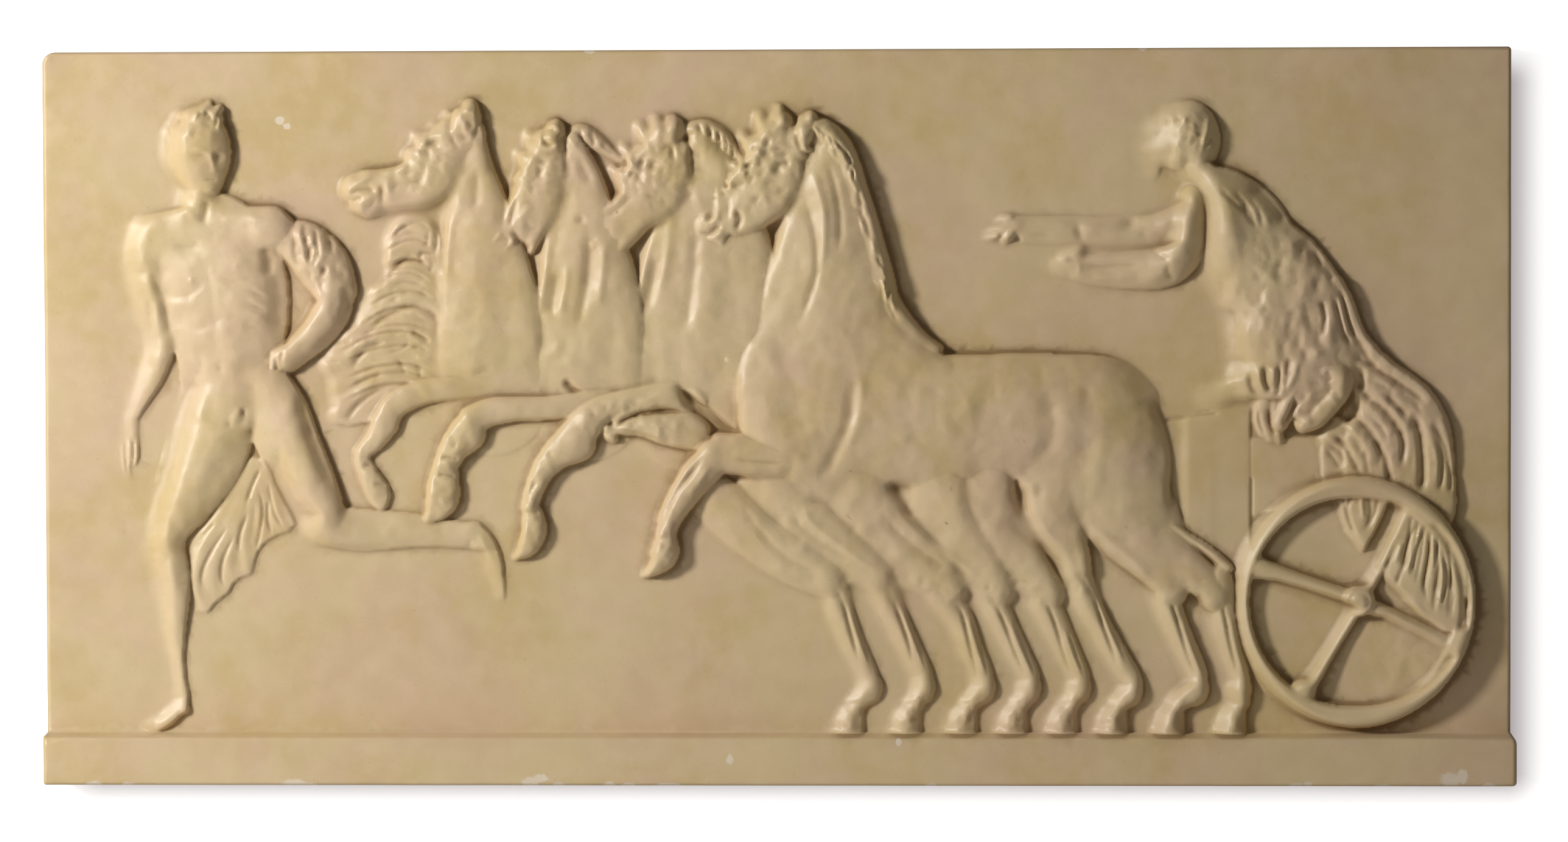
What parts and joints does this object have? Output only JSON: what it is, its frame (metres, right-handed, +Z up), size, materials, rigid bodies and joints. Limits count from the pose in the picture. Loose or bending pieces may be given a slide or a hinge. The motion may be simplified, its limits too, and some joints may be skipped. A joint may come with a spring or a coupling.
{
  "type": "plaster relief panel",
  "caption": "Rectangular cast plaster wall panel in low relief: a runner, a team of horses, and a driver leaning from a wheeled car, above a plain plinth.",
  "frame": {"origin": "centre of the flat back face, where the panel lies against the wall", "axes": "+X along the panel's length, to the right as seen from the front; +Y into the wall; +Z up; the carved face looks towards -Y"},
  "size_m": [1.003, 0.051, 0.5],
  "materials": {
    "plaster": "satin"
  },
  "bodies": {
    "root": {"relief_panel": "plaster"}
  },
  "joints": []
}
